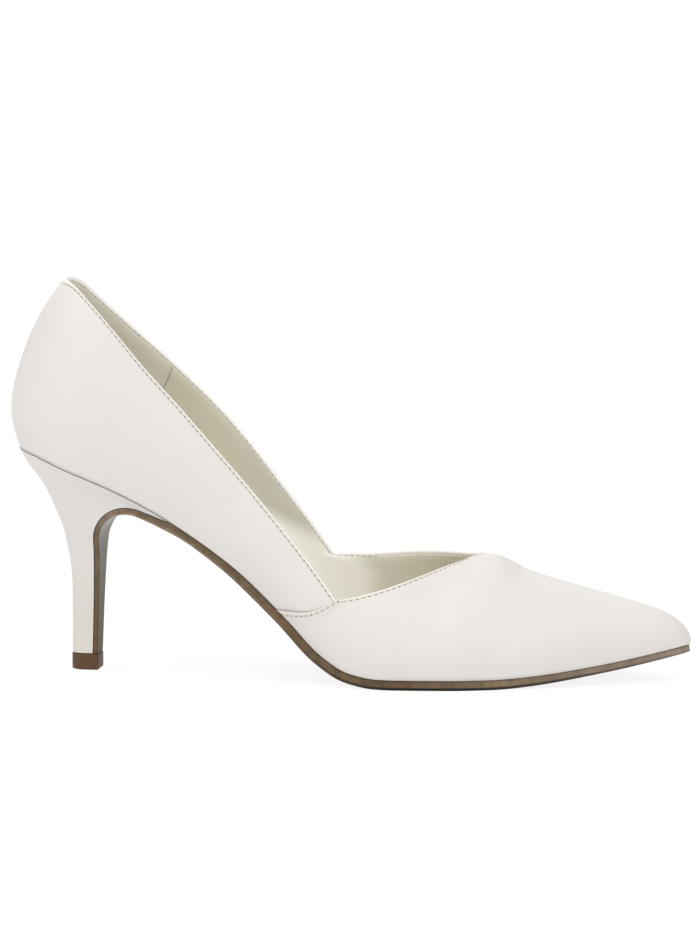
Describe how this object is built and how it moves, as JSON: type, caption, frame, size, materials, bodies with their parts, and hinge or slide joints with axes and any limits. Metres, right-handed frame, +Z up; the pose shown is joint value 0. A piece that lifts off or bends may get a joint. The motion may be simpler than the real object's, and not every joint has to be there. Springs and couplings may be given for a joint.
{
  "type": "pump shoe",
  "caption": "Right shoe of a pair of women's pointed pumps in smooth white leather, cut out at both sides, on a slim covered heel with a thin brown sole.",
  "frame": {"origin": "on the floor below the middle of the shoe's bounding box", "axes": "+X from heel to toe, +Y towards the inner side of the foot, +Z up"},
  "size_m": [0.246, 0.0791, 0.1429],
  "materials": {
    "upper_leather": "smooth white leather, low sheen",
    "sock": "matte cream lining leather",
    "sole": "brown sole with a streaked edge",
    "heel_cover": "smooth white leather stretched over the heel",
    "top_piece": "brown wearing piece"
  },
  "bodies": {
    "root": {"upper": "upper_leather", "insole": "sock", "outsole": "sole", "heel": "heel_cover", "top_piece": "top_piece"}
  },
  "joints": []
}
